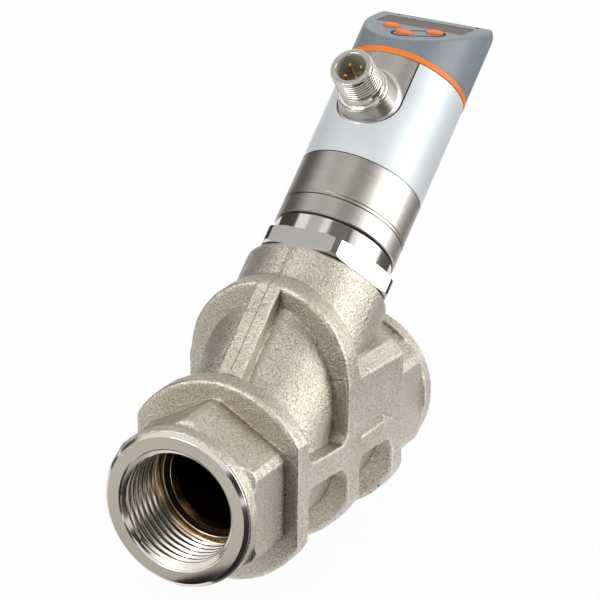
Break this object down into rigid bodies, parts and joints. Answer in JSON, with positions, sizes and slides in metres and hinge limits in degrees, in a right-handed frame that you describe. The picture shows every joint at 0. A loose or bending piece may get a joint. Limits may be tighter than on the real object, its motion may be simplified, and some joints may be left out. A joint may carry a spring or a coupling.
{
  "type": "inline flow sensor",
  "caption": "Inline flow sensor: cast Y-pattern pipe body with a spring-loaded piston, and a swivelling steel head with plug connector, display and keys.",
  "frame": {"origin": "centre of the inlet mouth, on the flow axis", "axes": "+X along the flow, from inlet to outlet; +Z to the side on which the head stands; the XZ plane is the body's symmetry plane"},
  "size_m": [0.1535, 0.0492, 0.1238],
  "materials": {
    "cast": "nickel-plated sand casting, matt with a fine grain",
    "turned_brass": "turned",
    "stainless": "brushed",
    "polished_steel": "fine turned, bright",
    "spring_steel": "drawn wire",
    "magnet": "plastic-bonded ferrite, matt",
    "seal": "moulded elastomer",
    "slide": "filled fluoropolymer, matt",
    "label": "silver-white satin film",
    "insert": "dark moulded plastic",
    "gold": "gold plated",
    "board": "glass-fibre laminate",
    "light_ring": "translucent, satin",
    "housing": "fine moulded grain",
    "window": "tinted, glossy",
    "display": "glossy",
    "lamp": "clear, unlit",
    "keys": "silicone, satin",
    "mat": "silicone"
  },
  "bodies": {
    "body": {"valve_body": "cast", "seat_ring": "stainless", "return_spring": "spring_steel", "stem": "polished_steel", "stem_o_ring": "seal", "probe_tube": "stainless", "sensor_board": "board", "slide_ring": "slide", "swivel_o_ring": "seal", "retaining_clip": "spring_steel"},
    "piston": {"piston": "turned_brass", "piston_nose": "turned_brass", "piston_seal": "seal", "piston_magnet": "magnet", "magnet_cap": "turned_brass"},
    "head": {"lower_ring": "stainless", "housing_tube": "stainless", "label_wrap": "label", "connector_shell": "polished_steel", "connector_insert": "insert", "connector_pins": "gold", "main_board": "board", "light_ring": "light_ring", "display_housing": "housing", "display_window": "window", "display_module": "display", "display_board": "board", "signal_lamps": "lamp", "key_mat": "mat"},
    "key_up": {"key_up": "keys"},
    "key_down": {"key_down": "keys"},
    "key_set": {"key_set": "keys"}
  },
  "joints": [
    {"name": "piston_slide", "type": "slide", "parent": "body", "child": "piston", "axis": [0.766, 0, 0.6428], "range_m": [0, 0.014], "stiffness_N_per_m": 220, "springref_m": -0.008, "deforming": ["return_spring"]},
    {"name": "head_swivel", "type": "hinge", "parent": "body", "child": "head", "pos_m": [0.08509, 0, 0.04455], "axis": [0.766, 0, 0.6428], "range_deg": [-172.5, 172.5]},
    {"name": "key_up_press", "type": "slide", "parent": "head", "child": "key_up", "axis": [-0.0993, 0, -0.9951], "range_m": [0, 0.0005], "stiffness_N_per_m": 1200, "springref_m": -0.0004},
    {"name": "key_down_press", "type": "slide", "parent": "head", "child": "key_down", "axis": [-0.0993, 0, -0.9951], "range_m": [0, 0.0005], "stiffness_N_per_m": 1200, "springref_m": -0.0004},
    {"name": "key_set_press", "type": "slide", "parent": "head", "child": "key_set", "axis": [-0.0993, 0, -0.9951], "range_m": [0, 0.0005], "stiffness_N_per_m": 1200, "springref_m": -0.0004}
  ]
}
